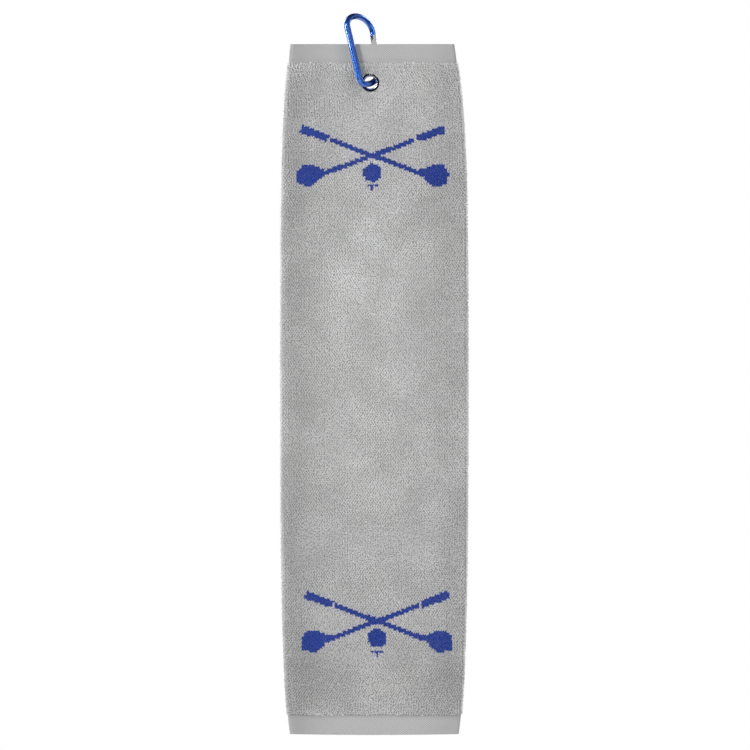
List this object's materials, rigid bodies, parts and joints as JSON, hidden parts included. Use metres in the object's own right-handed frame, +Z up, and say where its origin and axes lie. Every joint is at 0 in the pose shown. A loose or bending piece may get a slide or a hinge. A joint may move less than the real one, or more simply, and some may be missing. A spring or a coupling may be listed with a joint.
{
  "type": "golf towel with carabiner",
  "caption": "Tri-fold terry golf towel with flat hem bands and two woven motifs, clamped by a metal eyelet and hung from a sprung-gate mini carabiner.",
  "frame": {"origin": "inside of the carabiner's top bend, where the towel hangs from a bag's ring or hook", "axes": "+Z up along the hanging towel's length, -Y out of the towel's printed face, +X to the right as the face is looked at"},
  "size_m": [0.1356, 0.0256, 0.5225],
  "materials": {
    "grey_terry": "looped cotton pile, matt",
    "grey_twill": "flat twill weave, matt",
    "grey_thread": "sewing thread",
    "gunmetal": "dark plated, semi-gloss",
    "blue_anodised": "blue anodised, satin",
    "bright_gate": "bright, polished",
    "steel": "plain"
  },
  "bodies": {
    "carabiner": {"carabiner_body": "blue_anodised", "gate_rivet": "steel"},
    "gate": {"carabiner_gate": "bright_gate", "latch_pin": "steel", "gate_plunger": "steel", "gate_spring": "steel"},
    "towel": {"terry_panel": "grey_terry", "top_hem_band": "grey_twill", "bottom_hem_band": "grey_twill", "top_hem_thread": "grey_thread", "bottom_hem_thread": "grey_thread", "outer_side_thread": "grey_thread", "inner_side_thread": "grey_thread", "eyelet_barrel": "gunmetal", "eyelet_washer": "gunmetal"}
  },
  "joints": [
    {"name": "gate_hinge", "type": "hinge", "parent": "carabiner", "child": "gate", "pos_m": [0.01643, 0.00961, -0.03612], "axis": [0.7562, -0.6301, 0.1764], "range_deg": [0, 20], "stiffness_Nm_per_rad": 0.03, "springref_deg": -57.3},
    {"name": "towel_swing", "type": "hinge", "parent": "carabiner", "child": "towel", "pos_m": [0.01087, 0, -0.046], "axis": [0, 1, 0], "range_deg": [-50, 34]}
  ]
}
